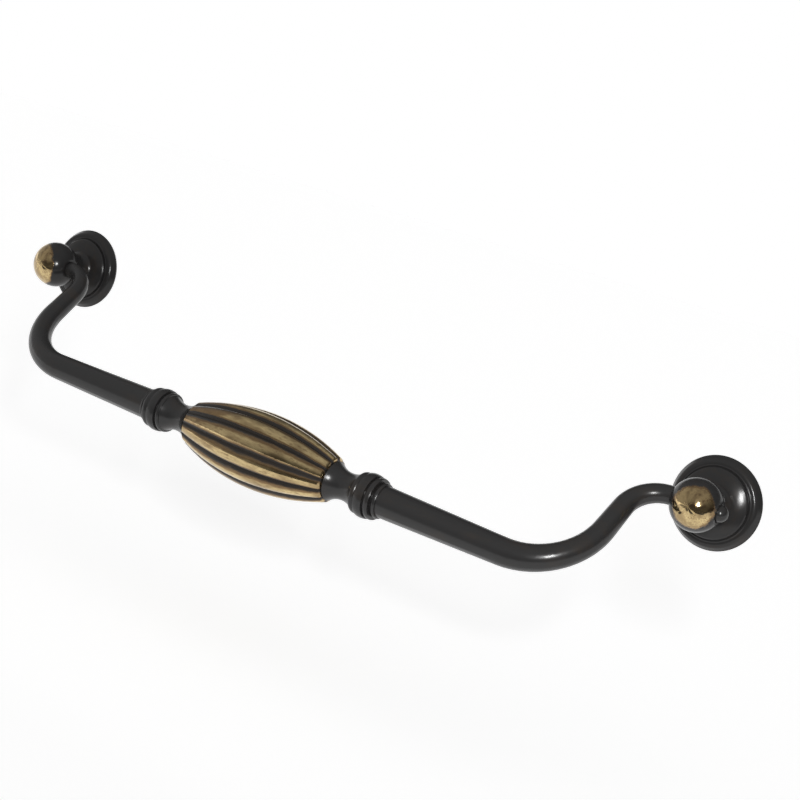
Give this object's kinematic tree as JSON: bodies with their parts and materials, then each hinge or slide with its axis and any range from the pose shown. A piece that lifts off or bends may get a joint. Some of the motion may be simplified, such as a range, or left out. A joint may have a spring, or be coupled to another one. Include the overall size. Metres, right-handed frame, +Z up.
{
  "type": "bail pull",
  "caption": "Swinging bail drawer pull with a ribbed barrel grip, tapered swan-neck arms and two round rosette posts.",
  "frame": {"origin": "midway between the two posts, on the plane of the rosette backs, which is the face of the drawer front", "axes": "+X along the pivot line to the right-hand post, +Y into the drawer front, +Z up. The bail is drawn swung out 48 degrees from hanging, as in the picture"},
  "size_m": [0.249, 0.0524, 0.0473],
  "materials": {
    "antique_brass": "near-black antique lacquer, rubbed back to brass on the rib crests and high spots, satin"
  },
  "bodies": {
    "posts": {"left_post": "antique_brass", "right_post": "antique_brass"},
    "bail": {"bail": "antique_brass"}
  },
  "joints": [
    {"name": "bail_swing", "type": "hinge", "parent": "posts", "child": "bail", "pos_m": [0, -0.015, 0], "axis": [-1, 0, 0], "range_deg": [-53.5, 137.5]}
  ]
}
